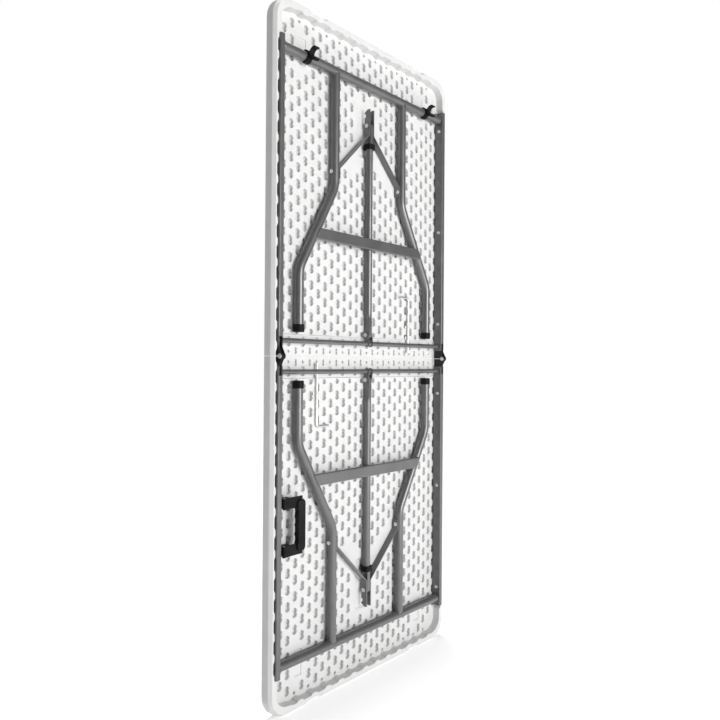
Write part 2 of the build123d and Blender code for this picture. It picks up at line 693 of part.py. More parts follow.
def make_lock_rod(half, side, name):
    """Bent wire rod, slid along the field and under the other half's crossbar."""
    with BuildPart() as rod:
        with BuildLine(face_plane(ROD_DEPTH)) as route:
            FilletPolyline(
                (side * ROD_X, half * ROD_TIP_Z),
                (side * ROD_X, half * ROD_FOOT_Z),
                (side * (ROD_X - ROD_FOOT), half * ROD_FOOT_Z),
                radius=ROD_BEND_R,
            )
        with BuildSketch(Plane(origin=route.line @ 0, z_dir=route.line % 0)):
            Circle(ROD_R)
        sweep(path=route.line)
    save(rod, name)


def make_rod_guides(half, side, name):
    """Small saddles, footed on the field, that the lock rod slides in."""
    bore = ROD_R + GUIDE_CLEARANCE
    outer = bore + GUIDE_WALL
    stand = ROD_DEPTH - FIELD_DEPTH
    foot_y = half * (stand - GUIDE_WALL / 2)
    with BuildPart() as guides:
        for place in GUIDE_PLACES:
            with BuildSketch(end_plane(half, place, ROD_DEPTH)):
                with Locations((side * ROD_X, 0)):
                    Circle(outer)
                with Locations((side * ROD_X, foot_y)):
                    Rectangle(4 * outer, GUIDE_WALL)
                with Locations((side * ROD_X, half * (stand + outer / 2))):
                    Rectangle(2 * outer, outer, mode=Mode.SUBTRACT)
                with Locations((side * ROD_X, 0)):
                    Circle(bore, mode=Mode.SUBTRACT)
                with Locations((side * ROD_X, half * stand / 2)):
                    Rectangle(2 * bore, stand, mode=Mode.SUBTRACT)
            extrude(amount=GUIDE_LENGTH / 2, both=True)
    save(guides, name)


def handle_arm_centres():
    """Distances from the fold of the middles of the handle's two arms."""
    reach = (HANDLE_LENGTH - HANDLE_ARM) / 2
    return (HANDLE_Z - reach, HANDLE_Z + reach)


def make_handle(half, name):
    """Loop with two flat arms, split barrels on the pin and a grip with finger waves."""
    grip_x = HANDLE_AXIS_X + HANDLE_REACH - GRIP_WIDTH / 2
    arm_start = HANDLE_AXIS_X + BARREL_R + 2 * BARREL_GAP
    arm_end = grip_x + GRIP_WIDTH / 4
    barrel = BARREL_LENGTH - BARREL_GAP
    finger = (HANDLE_LENGTH - 2 * HANDLE_ARM) / FINGERS
    finger_r = (finger**2 / 4 + FINGER_SAGITTA**2) / (2 * FINGER_SAGITTA)
    with BuildPart() as handle:
        for centre in handle_arm_centres():
            with BuildSketch(face_plane(FOLD_DEPTH)):
                with Locations(((arm_start + arm_end) / 2, half * centre)):
                    Rectangle(arm_end - arm_start, HANDLE_ARM)
            extrude(amount=HANDLE_ARM_T / 2, both=True)
            for end in (-1, 1):
                barrel_z = centre + end * (HANDLE_ARM - barrel) / 2
                with BuildSketch(face_plane(FOLD_DEPTH)):
                    with Locations((HANDLE_AXIS_X + BARREL_R, half * barrel_z)):
                        Rectangle(2 * BARREL_R, barrel)
                extrude(amount=HANDLE_ARM_T / 2, both=True)
                with BuildSketch(end_plane(half, barrel_z, FOLD_DEPTH)):
                    with Locations((HANDLE_AXIS_X, 0)):
                        Circle(BARREL_R)
                extrude(amount=barrel / 2, both=True)
        with BuildSketch(face_plane(FOLD_DEPTH)):
            with Locations((grip_x, half * HANDLE_Z)):
                RectangleRounded(GRIP_WIDTH, HANDLE_LENGTH - GRIP_SHORTER, GRIP_R)
            for place in range(FINGERS):
                finger_z = half * (HANDLE_Z + (place - (FINGERS - 1) / 2) * finger)
                with Locations((grip_x - GRIP_WIDTH / 2 - finger_r + FINGER_SAGITTA, finger_z)):
                    Circle(finger_r, mode=Mode.SUBTRACT)
        extrude(amount=GRIP_T / 2, both=True)
        rims = handle.faces().filter_by(Axis.Y).filter_by(
            lambda f: abs(abs(f.center().Y - TOP_Y + FOLD_DEPTH) - GRIP_T / 2) < 0.1
        )
        fillet(rims.edges(), GRIP_ROUND)
        with BuildSketch(end_plane(half, HANDLE_Z, FOLD_DEPTH)):
            with Locations((HANDLE_AXIS_X, 0)):
                Circle(HANDLE_PIN_R + RUNNING_FIT)
        extrude(amount=HANDLE_LENGTH, both=True, mode=Mode.SUBTRACT)
    save(handle, name)


def make_handle_brackets(half, name):
    """Two blocks on the rail's inner wall, each with a knuckle for the handle's pin."""
    knuckle = HANDLE_ARM - 2 * BARREL_LENGTH - BARREL_GAP
    lug_x = LUG_REACH / 2 - RAIL_INNER
    neck = FOLD_DEPTH - LUG_BASE_DEPTH
    with BuildPart() as brackets:
        for centre in handle_arm_centres():
            with BuildSketch(face_plane(LUG_BASE_DEPTH)):
                with Locations((lug_x, half * centre)):
                    Rectangle(LUG_REACH, HANDLE_ARM - BARREL_R)
            extrude(amount=LUG_TOP_DEPTH - LUG_BASE_DEPTH)
            with BuildSketch(end_plane(half, centre, FOLD_DEPTH)):
                with Locations((HANDLE_AXIS_X, 0)):
                    Circle(BARREL_R)
                with Locations((HANDLE_AXIS_X, half * neck / 2)):
                    Rectangle(2 * BARREL_R, neck)
            extrude(amount=knuckle / 2, both=True)
        with BuildSketch(end_plane(half, HANDLE_Z, FOLD_DEPTH)):
            with Locations((HANDLE_AXIS_X, 0)):
                Circle(HANDLE_PIN_R)
        extrude(amount=HANDLE_LENGTH, both=True, mode=Mode.SUBTRACT)
    save(brackets, name)


def make_handle_pins(half, name):
    """Steel pins through the handle's barrels and the brackets' knuckles."""
    with BuildPart() as pins:
        for centre in handle_arm_centres():
            with BuildSketch(end_plane(half, centre, FOLD_DEPTH)):
                with Locations((HANDLE_AXIS_X, 0)):
                    Circle(HANDLE_PIN_R)
            extrude(amount=HANDLE_ARM / 2, both=True)
    save(pins, name)


def main():
    os.makedirs("parts", exist_ok=True)
    strap_outside = STRAP_INSIDE_X + STRAP_T
    ear_outside = PADDLE_T / 2 + EAR_CLEARANCE + EAR_T
    for word, half in HALVES.items():
        rod_side = half
        make_panel(half, f"{word}_panel")
        make_rail_screws(half, f"{word}_rail_screws")
        make_crossbar(half, f"{word}_crossbar")
        make_strut_clevis(half, f"{word}_strut_clevis")
        make_bolt(half, ear_outside, STRUT_DEPTH, STRUT_PIVOT_Z, f"{word}_strut_bolt")
        make_cross_tube(half, f"{word}_leg_cross_tube")
        make_leg_bar(half, f"{word}_leg_bar")
        make_leg_rivets(half, f"{word}_leg_rivets")
        make_strut(half, f"{word}_strut")
        make_bolt(half, strap_outside, STRUT_DEPTH, BRACE_BOLT_Z, f"{word}_brace_bolt")
        make_brace_rivets(half, f"{word}_brace_rivets")
        make_lock_ring(half, f"{word}_lock_ring")
        make_lock_rod(half, rod_side, f"{word}_lock_rod")
        make_rod_guides(half, rod_side, f"{word}_rod_guides")
        for hand, side in SIDES.items():
            make_rail(half, side, f"{word}_{hand}_rail")
            make_hinge_bracket(half, side, f"{word}_{hand}_hinge_bracket")
            make_leg_tube(half, side, f"{word}_{hand}_leg_tube")
            make_foot_cap(half, side, f"{word}_{hand}_foot_cap")
            make_strap(half, side, f"{word}_{hand}_brace_strap")
    for hand, side in SIDES.items():
        make_hinge_pin(side, f"{hand}_hinge_pin")
        make_clip(side, f"{hand}_snap_clip")
    handle_half = HALVES["lower"]
    make_handle(handle_half, "carry_handle")
    make_handle_brackets(handle_half, "handle_brackets")
    make_handle_pins(handle_half, "handle_pins")
    print(f"strut swings {STRUT_SWING:.4f} degrees, brace bolt {BRACE_BOLT_Z:.3f} from the fold")
    print(f"brace {BRACE_LENGTH:.3f} long, working surface at Y {TOP_Y:.2f}")


main()
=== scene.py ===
"""Looks of a fold-in-half table that stands on its short end, seen from the underside.

Two blow-moulded panels replace the plain CAD panels. The steel, zinc and plastic parts are the
CAD nodes with procedural materials, and welds, ribs of the foot caps and collars are added.
Places on a half are given by x, the distance from the fold and the depth below the working side.
"""

import json
import math

import bmesh
import bpy
from mathutils import Matrix, Vector
from mathutils.geometry import delaunay_2d_cdt


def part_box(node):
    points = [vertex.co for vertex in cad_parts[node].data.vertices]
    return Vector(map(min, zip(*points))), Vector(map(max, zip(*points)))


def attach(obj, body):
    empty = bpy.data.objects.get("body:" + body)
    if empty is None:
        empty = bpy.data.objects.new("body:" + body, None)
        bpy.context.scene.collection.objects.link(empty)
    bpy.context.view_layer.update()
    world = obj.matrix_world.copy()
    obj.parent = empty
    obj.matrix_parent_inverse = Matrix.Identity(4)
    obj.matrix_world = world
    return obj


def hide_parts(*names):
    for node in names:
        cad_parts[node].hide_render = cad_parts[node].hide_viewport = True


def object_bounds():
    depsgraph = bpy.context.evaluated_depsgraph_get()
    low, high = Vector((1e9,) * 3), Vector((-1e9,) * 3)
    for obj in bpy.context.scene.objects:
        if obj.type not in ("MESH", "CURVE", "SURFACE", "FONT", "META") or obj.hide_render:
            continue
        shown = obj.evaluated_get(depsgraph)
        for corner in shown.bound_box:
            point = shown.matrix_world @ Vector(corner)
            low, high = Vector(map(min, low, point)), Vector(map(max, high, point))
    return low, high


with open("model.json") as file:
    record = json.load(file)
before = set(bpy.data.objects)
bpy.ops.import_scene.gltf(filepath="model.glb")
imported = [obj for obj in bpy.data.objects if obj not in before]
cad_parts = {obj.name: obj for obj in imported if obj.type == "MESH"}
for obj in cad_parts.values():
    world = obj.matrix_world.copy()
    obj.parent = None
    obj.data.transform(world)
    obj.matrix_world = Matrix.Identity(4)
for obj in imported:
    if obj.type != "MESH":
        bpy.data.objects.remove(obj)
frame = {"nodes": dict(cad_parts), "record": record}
cad_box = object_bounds()

MM = 0.001
LOWER_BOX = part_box("lower_panel")
UPPER_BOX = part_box("upper_panel")
TOP_Y = LOWER_BOX[1].y
FOLD_Z = (LOWER_BOX[1].z + UPPER_BOX[0].z) / 2
HALF_LENGTH = (FOLD_Z - LOWER_BOX[0].z) / MM
HALF_WIDTH = LOWER_BOX[1].x / MM
EDGE_DEPTH = (TOP_Y - LOWER_BOX[0].y) / MM
FOLD_GAP = (UPPER_BOX[0].z - FOLD_Z) / MM
HALVES = {"lower": -1, "upper": 1}
SIDES = {"left": -1, "right": 1}

# ---- moulded panels, millimetres; a level is how far a contour leans in and its depth ----
FIELD_DEPTH = 12.0
TROUGH_DEPTH = 8.0
TROUGH_END = 58.5
TROUGH_HALF_WIDTH = 350.0
TROUGH_LEVELS = ((0.0, FIELD_DEPTH), (0.7, FIELD_DEPTH - 0.5), (1.8, TROUGH_DEPTH))
TROUGH_STATION = 20.0
CORNER_R = 60.0
RIM_PROFILE = ((8.0, 36.0), (7.2, 35.8), (6.5, 35.2), (0.9, 27.2), (0.3, 25.8), (0.0, 24.4))
TOP_ROUND = 6.0
TOP_BORDER = 3.0
PARTING_DEPTH = 15.0
PARTING_STEP = 0.35
PARTING_HALF = 1.2
PARTING_FLAT = 0.5
STATION = 4.0
SIDE_STATION = 60.0

# ---- scalloped wall inside the rim ----
WALL_X = 367.3
WALL_END = 889.5
WALL_CORNER_R = 42.0
WALL_STEP_PLACE = 812.0
WALL_STEP_LENGTH = 12.0
WALL_STEP = 6.0
WALL_LEVELS = ((0.0, 36.0), (0.6, 35.5), (0.9, 34.6), (2.1, 14.6), (2.7, 13.0), (4.2, 12.0))
SIDE_GAP_DEPTH = 4.2
END_GAP_DEPTH = 5.0
SIDE_PITCH = 52.0
GAP_SHARE = 0.62
GAP_SLOPE = 0.22

# ---- notches that set the end of a panel back ----
NOTCH_X = 223.0
NOTCH_FLAT = 22.0
NOTCH_SLOPE = 15.0
NOTCH_DEPTH = 5.5

# ---- dimples: a single one is its distance from the fold, its radius and its lobes' spread ----
COLUMNS = 28
COLUMN_PITCH = 26.25
ROWS = 20
ROW_PITCH = 43.5
ROW_START_ODD = 62.0
ROW_START_EVEN = 40.3
LOBE_R = 7.9
LOBE_SPREAD = 5.3
LOBE_STEPS = 9
LOBE_SPREAD_LIMIT = 0.95
DIMPLE_LEVELS = ((0.9, 12.0), (0.2, 11.5), (-0.3, 10.6), (-1.3, 5.0), (-2.2, 4.2))
DIMPLE_TOP_LIMIT = 3.4
FIRST_DIMPLE_ODD = (67.2, 7.3, 0.0)
FIRST_DIMPLE_EVEN = (39.3, LOBE_R, LOBE_SPREAD)
TROUGH_DIMPLE_ODD = (15.8, 4.6, 4.4)
TROUGH_DIMPLE_EVEN = (14.0, 4.0, 0.0)
END_DIMPLE = (WALL_END - 9.5, 4.4, 0.0)
END_DIMPLE_REACH = 320.0
# vertex layer of painted shade in the dimples, full at SHADE_DEPTH below the ground around them
RECESS_SHADE_LAYER = "painted_recess_shade"
SHADE_DEPTH = 6.0

# ---- room that the dimples leave ----
TROUGH_MARGIN = 10.0
END_MARGIN = 16.0
PAD_REACH = 24.0
STRUT_PAST_BOLT = 50.0
STRAP_PAST_RIVET = 12.0
POCKET_ROOM_X = 44.0
POCKET_ROOM_Z = 13.0
CLIP_ROOM_X = 25.0
CLIP_ROOM_Z = 48.0
CORNER_ROOM_R = 26.0
CORNER_ROOM_SHIFT = 6.0
STEP_ROOM_X = 345.0
STEP_ROOM_Z = 6.0

# ---- pockets over the lock ring and beside the snap clips ----
POCKET_HALF_WIDTH = 39.0
POCKET_SHIFT = 13.0
POCKET_PAST_ENDS = 46.0
POCKET_LEVELS = ((0.0, 12.0), (2.5, 11.2), (7.0, 7.3), (10.0, 6.5))
POCKET_R = 14.0
CLIP_POCKET_HALF_WIDTH = 15.0
CLIP_POCKET_HALF_LENGTH = 36.0
CLIP_POCKET_SHIFT = 19.0
CLIP_POCKET_LEVELS = ((0.0, 12.0), (0.8, 11.6), (2.0, 9.4), (2.8, 9.0))
CLIP_POCKET_R = 4.0

# ---- meshing ----
OUTLINE_ARC = 5.0
WALL_ARC = 7.5
POCKET_ARC = 15.0
TOP_ARC = 15.0
INSIDE_CONTOURS = 1
CONTOUR_TOLERANCE = 1e-4
SAME_PLACE = 1e-6
SHARP_ANGLE = 32.0

# ---- small pieces, millimetres ----
LOOP_STEPS = 36
BEAD_SIDES = 10
TUBE_R = 12.7
TUBE_DEPTH = 27.5
CROSS_TUBE_PLACE = 785.0
LEG_X = 150.8
WELD_R = 1.5
WELD_ROUND = 1.27
FOOT_X = 284.0
CAP_R = 14.6
CAP_RIB_R = 0.55
CAP_RIB_PLACES = (68.0, 72.5, 77.0)
CROSSBAR_PLACE = 40.0
CROSSBAR_DEPTH = 27.0
COLLAR_X = 359.5
COLLAR_R = 8.0
COLLAR_HALF = 1.5
COLLAR_CHAMFER = 0.35

# ---- floor, camera and light, metres and degrees ----
FLOOR_HALF_WIDTH = 12.0
FLOOR_CELLS = 8
FLOOR_DROP = 0.0006
FLOOR_GLOW = 0.335
CAMERA_PLACE = (-1.53357, -1.27635, 0.89708)
CAMERA_YAW = 49.36
CAMERA_PITCH = 0.29
CAMERA_ROLL = 0.41
CAMERA_LENS = 34.37
SENSOR_WIDTH = 36.0
WORLD_LIGHT = 0.10
SUN_PLACE = (0.0, 0.56, 4.0)
SUN_STRENGTH = 2.1
SUN_ANGLE = 24.0
KEY_PLACE = (0.2, -4.2, 1.3)
KEY_SIZE = 2.2
KEY_POWER = 164.0


def at(x, from_fold, depth, half):
    """Point in the frame, in metres, from a place on one half in millimetres."""
    return Vector((x * MM, TOP_Y - depth * MM, FOLD_Z + half * from_fold * MM))


def smooth_step(value):
    """0 below 0, 1 above 1 and a smooth rise between."""
    value = min(max(value, 0.0), 1.0)
    return value * value * (3 - 2 * value)


# ------------------------------------------------------------------ materials


def new_material(name):
    """Material with a Principled shader, and a short way to add and join nodes."""
    material = bpy.data.materials.new(name)
    material.use_nodes = True
    tree = material.node_tree
    return material, tree, tree.nodes["Principled BSDF"]


def add_node(tree, kind, values=(), **settings):
    """Node of that kind with some of its inputs and properties set."""
    node = tree.nodes.new(kind)
    for key, value in settings.items():
        setattr(node, key, value)
    for key, value in dict(values).items():
        node.inputs[key].default_value = value
    return node


def object_coordinates(tree):
    """Coordinates that stay with the piece."""
    return add_node(tree, "ShaderNodeTexCoord").outputs["Object"]


def noise(tree, coordinates, scale, detail=3.0, roughness=0.5):
    """Fractal noise output."""
    node = add_node(
        tree, "ShaderNodeTexNoise", {"Scale": scale, "Detail": detail, "Roughness": roughness}
    )
    tree.links.new(coordinates, node.inputs["Vector"])
    return node.outputs["Fac"]


def ramp(tree, factor, low, high, start=0.0, end=1.0):
    """Colour that runs from low to high as factor goes from start to end."""
    node = add_node(tree, "ShaderNodeValToRGB")
    node.color_ramp.elements[0].position = start
    node.color_ramp.elements[0].color = (*low, 1.0)
    node.color_ramp.elements[1].position = end
    node.color_ramp.elements[1].color = (*high, 1.0)
    tree.links.new(factor, node.inputs["Fac"])
    return node.outputs["Color"]


def span(tree, factor, low, high, start=0.0, end=1.0):
    """Number that runs from low to high as factor goes from start to end."""
    values = {"From Min": start, "From Max": end, "To Min": low, "To Max": high}
    node = add_node(tree, "ShaderNodeMapRange", values)
    tree.links.new(factor, node.inputs["Value"])
    return node.outputs["Result"]


def bump(tree, height, distance, strength, normal=None):
    """Bump of a height in metres."""
    node = add_node(tree, "ShaderNodeBump", {"Distance": distance, "Strength": strength})
    tree.links.new(height, node.inputs["Height"])
    if normal is not None:
        tree.links.new(normal, node.inputs["Normal"])
    return node.outputs["Normal"]


def moulded_white():
    """Granite-white polyethylene: faint mottling, pebble grain, a dull sheen and painted shade in
    the dimples.
    """
    material, tree, shader = new_material("panel_white")
    place = object_coordinates(tree)
    cloud = noise(tree, place, scale=22.0, detail=4.0)
    grain = noise(tree, place, scale=900.0, detail=2.0, roughness=0.6)
    pebble = add_node(tree, "ShaderNodeTexVoronoi", {"Scale": 420.0}, feature="SMOOTH_F1")
    tree.links.new(place, pebble.inputs["Vector"])
    colour = ramp(
        tree, cloud, low=(0.607, 0.607, 0.603), high=(0.643, 0.643, 0.638), start=0.3, end=0.7
    )
    # painted shade: the colour turns to a darker grey down the dimples' walls and floors
    painted_recess_shade = add_node(tree, "ShaderNodeAttribute", attribute_name=RECESS_SHADE_LAYER)
    painted_shade_mix = add_node(tree, "ShaderNodeMix", data_type="RGBA")
    painted_shade_mix.inputs["B"].default_value = (0.49, 0.49, 0.49, 1.0)
    tree.links.new(painted_recess_shade.outputs["Fac"], painted_shade_mix.inputs["Factor"])
    tree.links.new(colour, painted_shade_mix.inputs["A"])
    tree.links.new(painted_shade_mix.outputs["Result"], shader.inputs["Base Color"])
    roughness = span(tree, grain, low=0.42, high=0.56, start=0.3, end=0.7)
    tree.links.new(roughness, shader.inputs["Roughness"])
    shader.inputs["Specular IOR Level"].default_value = 0.35
    shader.inputs["Subsurface Weight"].default_value = 0.06
    shader.inputs["Subsurface Radius"].default_value = (0.004, 0.004, 0.004)
    low = bump(tree, pebble.outputs["Distance"], distance=0.0004, strength=0.35)
    normal = bump(tree, grain, distance=0.0002, strength=0.3, normal=low)
    tree.links.new(normal, shader.inputs["Normal"])
    return material


def painted_steel():
    """Grey powder coat: orange peel, slight shade changes and a satin gloss."""
    material, tree, shader = new_material("frame_grey")
    place = object_coordinates(tree)
    cloud = noise(tree, place, scale=14.0, detail=5.0)
    peel = noise(tree, place, scale=1100.0, detail=2.0, roughness=0.5)
    speck = noise(tree, place, scale=2600.0, detail=1.0)
    colour = ramp(
        tree, cloud, low=(0.104, 0.104, 0.106), high=(0.130, 0.130, 0.132), start=0.35, end=0.65
    )
    tree.links.new(colour, shader.inputs["Base Color"])
    roughness = span(tree, peel, low=0.30, high=0.42, start=0.3, end=0.7)
    tree.links.new(roughness, shader.inputs["Roughness"])
    shader.inputs["Metallic"].default_value = 0.35
    shader.inputs["Coat Weight"].default_value = 0.5
    shader.inputs["Coat Roughness"].default_value = 0.22
    base = bump(tree, peel, distance=0.00025, strength=0.35)
    normal = bump(tree, speck, distance=0.0001, strength=0.2, normal=base)
    tree.links.new(normal, shader.inputs["Normal"])
    return material


def dark_steel():
    """Blackened hinge plates with a few rubbed patches."""
    material, tree, shader = new_material("hinge_dark")
    place = object_coordinates(tree)
    cloud = noise(tree, place, scale=40.0, detail=5.0, roughness=0.6)
    brushed = noise(tree, place, scale=1500.0, detail=2.0)
    colour = ramp(
        tree, cloud, low=(0.012, 0.012, 0.013), high=(0.045, 0.044, 0.043), start=0.35, end=0.8
    )
    tree.links.new(colour, shader.inputs["Base Color"])
    roughness = span(tree, cloud, low=0.32, high=0.5, start=0.3, end=0.7)
    tree.links.new(roughness, shader.inputs["Roughness"])
    shader.inputs["Metallic"].default_value = 0.6
    normal = bump(tree, brushed, distance=0.0002, strength=0.3)
    tree.links.new(normal, shader.inputs["Normal"])
    return material


def moulded_black():
    """Black plastic with a fine spark-eroded grain."""
    material, tree, shader = new_material("black_plastic")
    place = object_coordinates(tree)
    cloud = noise(tree, place, scale=30.0, detail=3.0)
    grain = noise(tree, place, scale=1800.0, detail=3.0, roughness=0.65)
    colour = ramp(
        tree, cloud, low=(0.004, 0.004, 0.004), high=(0.010, 0.010, 0.010), start=0.3, end=0.7
    )
    tree.links.new(colour, shader.inputs["Base Color"])
    roughness = span(tree, grain, low=0.42, high=0.62, start=0.3, end=0.7)
    tree.links.new(roughness, shader.inputs["Roughness"])
    shader.inputs["Specular IOR Level"].default_value = 0.12
    normal = bump(tree, grain, distance=0.00025, strength=0.45)
    tree.links.new(normal, shader.inputs["Normal"])
    return material


def plated_zinc(name, low, high, scale):
    """Zinc plate with a soft spangle, brighter or duller from grain to grain."""
    material, tree, shader = new_material(name)
    place = object_coordinates(tree)
    spangle = add_node(tree, "ShaderNodeTexVoronoi", {"Scale": scale})
    tree.links.new(place, spangle.inputs["Vector"])
    fine = noise(tree, place, scale=2200.0, detail=2.0)
    colour = ramp(tree, spangle.outputs["Distance"], high, low, end=0.9)
    tree.links.new(colour, shader.inputs["Base Color"])
    roughness = span(tree, fine, low=0.22, high=0.4, start=0.3, end=0.7)
    tree.links.new(roughness, shader.inputs["Roughness"])
    shader.inputs["Metallic"].default_value = 0.9
    normal = bump(tree, fine, distance=0.00015, strength=0.3)
    tree.links.new(normal, shader.inputs["Normal"])
    return material


def floor_paper():
    """Pale matt floor with hardly any texture; a faint glow keeps its shadows light."""
    material, tree, shader = new_material("studio_floor")
    place = object_coordinates(tree)
    cloud = noise(tree, place, scale=3.0, detail=2.0)
    colour = ramp(tree, cloud, low=(0.90, 0.90, 0.90), high=(0.93, 0.93, 0.93), start=0.3, end=0.7)
    tree.links.new(colour, shader.inputs["Base Color"])
    shader.inputs["Roughness"].default_value = 0.85
    shader.inputs["Emission Color"].default_value = (1.0, 1.0, 1.0, 1.0)
    shader.inputs["Emission Strength"].default_value = FLOOR_GLOW
    shader.inputs["Specular IOR Level"].default_value = 0.1
    return material


MATERIALS = {
    "panel_white": moulded_white(),
    "frame_grey": painted_steel(),
    "hinge_dark": dark_steel(),
    "black_plastic": moulded_black(),
    "zinc": plated_zinc("zinc", (0.42, 0.42, 0.43), (0.78, 0.78, 0.79), 700.0),
    "zinc_wire": plated_zinc("zinc_wire", (0.60, 0.60, 0.60), (0.90, 0.90, 0.89), 500.0),
}


# ------------------------------------------------------------------ mesh helpers


def add_piece(mesh_builder, name, body, slot):
    """Make an object of a bmesh, with its material, body and slot."""
    for face in mesh_builder.faces:
        face.smooth = True
    for edge in mesh_builder.edges:
        if len(edge.link_faces) == 2:
            edge.smooth = edge.calc_face_angle(0.0) < math.radians(SHARP_ANGLE)
    mesh = bpy.data.meshes.new(name)
    mesh_builder.to_mesh(mesh)
    mesh_builder.free()
    piece = bpy.data.objects.new(name, mesh)
    bpy.context.scene.collection.objects.link(piece)
    mesh.materials.append(MATERIALS[slot])
    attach(piece, body)
    return piece


# ------------------------------------------------------------------ moulded panels


def notch(x):
    """How far the end of a panel is cut back at x."""
    past = abs(abs(x) - NOTCH_X) - NOTCH_FLAT
    return NOTCH_DEPTH * (1 - smooth_step(past / NOTCH_SLOPE))


def gap_share(place, pitch):
    """1 in the middle of a gap of the scalloped wall and 0 on a bump; gaps are at 0, pitch, ..."""
    away = abs((place / pitch + 0.5) % 1.0 - 0.5) * 2
    return 1 - smooth_step((away - GAP_SHARE + GAP_SLOPE / 2) / GAP_SLOPE)


def spaced(start, end, step):
    """Evenly spaced numbers from start to end, both included."""
    count = max(1, round(abs(end - start) / step))
    return [start + (end - start) * i / count for i in range(count + 1)]


def arc(x, z, radius, start, end, step):
    """Points of an arc around x and z; the angles are in degrees."""
    turns = [math.radians(angle) for angle in spaced(start, end, step)]
    return [(x + radius * math.cos(turn), z + radius * math.sin(turn)) for turn in turns]


def mirrored(path):
    """The same points on the other side, in the opposite order."""
    return [(-x, z) for x, z in reversed(path)]


def outline_path(inset):
    """Edge of a panel, moved inward, from the fold up the left side and down the right one."""
    straight_end = HALF_LENGTH - CORNER_R
    end_x = HALF_WIDTH - CORNER_R
    left = [(inset - HALF_WIDTH, z) for z in spaced(FOLD_GAP, straight_end, SIDE_STATION)]
    left += arc(-end_x, straight_end, CORNER_R - inset, 180.0, 90.0, OUTLINE_ARC)[1:-1]
    left += [(x, HALF_LENGTH - inset - notch(x)) for x in spaced(-end_x, 0.0, STATION)]
    return left + mirrored(left[:-1])


def wall_path(lean):
    """Scalloped inner wall of the rim, moved towards the field, in the outline's order."""
    corner_x = WALL_X - WALL_STEP - WALL_CORNER_R
    corner_z = WALL_END - WALL_CORNER_R
    left = []
    for z in spaced(FOLD_GAP, corner_z, STATION):
        stepped = smooth_step((z - WALL_STEP_PLACE) / WALL_STEP_LENGTH)
        gap = SIDE_GAP_DEPTH * gap_share(z, SIDE_PITCH) * (1 - stepped)
        left.append((-(WALL_X + gap - WALL_STEP * stepped - lean), z))
    left += arc(-corner_x, corner_z, WALL_CORNER_R - lean, 180.0, 90.0, WALL_ARC)[1:-1]
    end = []
    stations = spaced(-corner_x, 0.0, STATION)
    for x in stations + [-x for x in reversed(stations[:-1])]:
        share = gap_share(x - COLUMN_PITCH / 2, 2 * COLUMN_PITCH)
        fade = smooth_step((corner_x - abs(x)) / COLUMN_PITCH)
        end.append((x, WALL_END - lean + END_GAP_DEPTH * share * fade))
    return left + end + mirrored(left)


def trough_path(lean):
    """Edge of the deeper trough along the fold, from the left end of the fold line to the right."""
    side_x = TROUGH_HALF_WIDTH - lean
    end = TROUGH_END - lean
    across = [(x, end) for x in spaced(-side_x, side_x, TROUGH_STATION)]
    return [(-side_x, FOLD_GAP)] + across + [(side_x, FOLD_GAP)]


def rounded_rectangle(x, z, half_width, half_length, radius):
    """Closed path around a rectangle with round corners."""
    path = []
    for corner, (sign_x, sign_z) in enumerate(((1, 1), (-1, 1), (-1, -1), (1, -1))):
        centre_x = x + sign_x * (half_width - radius)
        centre_z = z + sign_z * (half_length - radius)
        start = 90.0 * corner
        path += arc(centre_x, centre_z, radius, start, start + 90.0, POCKET_ARC)
    return path


def dimple_path(x, z, radius, spread):
    """Closed path around two overlapping circles, one above the other."""
    tilt = math.asin(min(spread / radius, LOBE_SPREAD_LIMIT))
    path = []
    for lobe, start in ((1, -tilt), (-1, math.pi - tilt)):
        for i in range(LOBE_STEPS):
            turn = start + (math.pi + 2 * tilt) * i / LOBE_STEPS
            path.append((x + radius * math.cos(turn), z + lobe * spread + radius * math.sin(turn)))
    return path


def middle_of(node, half):
    """Sideways place and distance from the fold, in millimetres, of the middle of a CAD node."""
    low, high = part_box(node)
    return (low.x + high.x) / 2 / MM, half * ((low.z + high.z) / 2 - FOLD_Z) / MM


def panel_places(word):
    """Places on a half that the moulding makes room for, read from the frame."""
    half = HALVES[word]
    _, bolt_z = middle_of(f"{word}_brace_bolt", half)
    _, ring_z = middle_of(f"{word}_lock_ring", half)
    _, rivet_z = middle_of(f"{word}_brace_rivets", half)
    rivet_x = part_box(f"{word}_brace_rivets")[1].x / MM
    clip_x, clip_z = middle_of("right_snap_clip", HALVES["upper"])
    return {
        "strut": (ring_z, bolt_z + STRUT_PAST_BOLT),
        "strap_end": (rivet_x, rivet_z + STRAP_PAST_RIVET),
        "pocket": ((ring_z + bolt_z) / 2 + POCKET_SHIFT, (bolt_z - ring_z) / 2 + POCKET_PAST_ENDS),
        "clip": (clip_x, clip_z + CLIP_POCKET_SHIFT),
    }


def strap_distance(x, z, places):
    """Distance from a point to the folded strut's end or to the strap on its side."""
    ring_z, strut_end = places["strut"]
    past_strut = max(ring_z - z, z - strut_end, 0.0)
    start = Vector((0.0, ring_z))
    run = Vector(places["strap_end"]) - start
    to_point = Vector((abs(x), z)) - start
    share = min(max(to_point.dot(run) / run.dot(run), 0.0), 1.0)
    return min(math.hypot(x, past_strut), (to_point - run * share).length)


def has_room(x, z, places):
    """Whether a dimple at a place is clear of the pads, pockets, corners and wall steps."""
    if strap_distance(x, z, places) < PAD_REACH:
        return False
    pocket_z, pocket_half = places["pocket"]
    if abs(x) < POCKET_ROOM_X and abs(z - pocket_z) < pocket_half + POCKET_ROOM_Z:
        return False
    clip_x, clip_z = places["clip"]
    if abs(abs(x) - clip_x) < CLIP_ROOM_X and abs(z - clip_z) < CLIP_ROOM_Z:
        return False
    past_x = abs(x) - (WALL_X - WALL_STEP - WALL_CORNER_R)
    past_z = z + CORNER_ROOM_SHIFT - (WALL_END - WALL_CORNER_R)
    if past_x > 0 and past_z > 0 and math.hypot(past_x, past_z) > CORNER_ROOM_R:
        return False
    return z <= WALL_STEP_PLACE - STEP_ROOM_Z or abs(x) <= STEP_ROOM_X


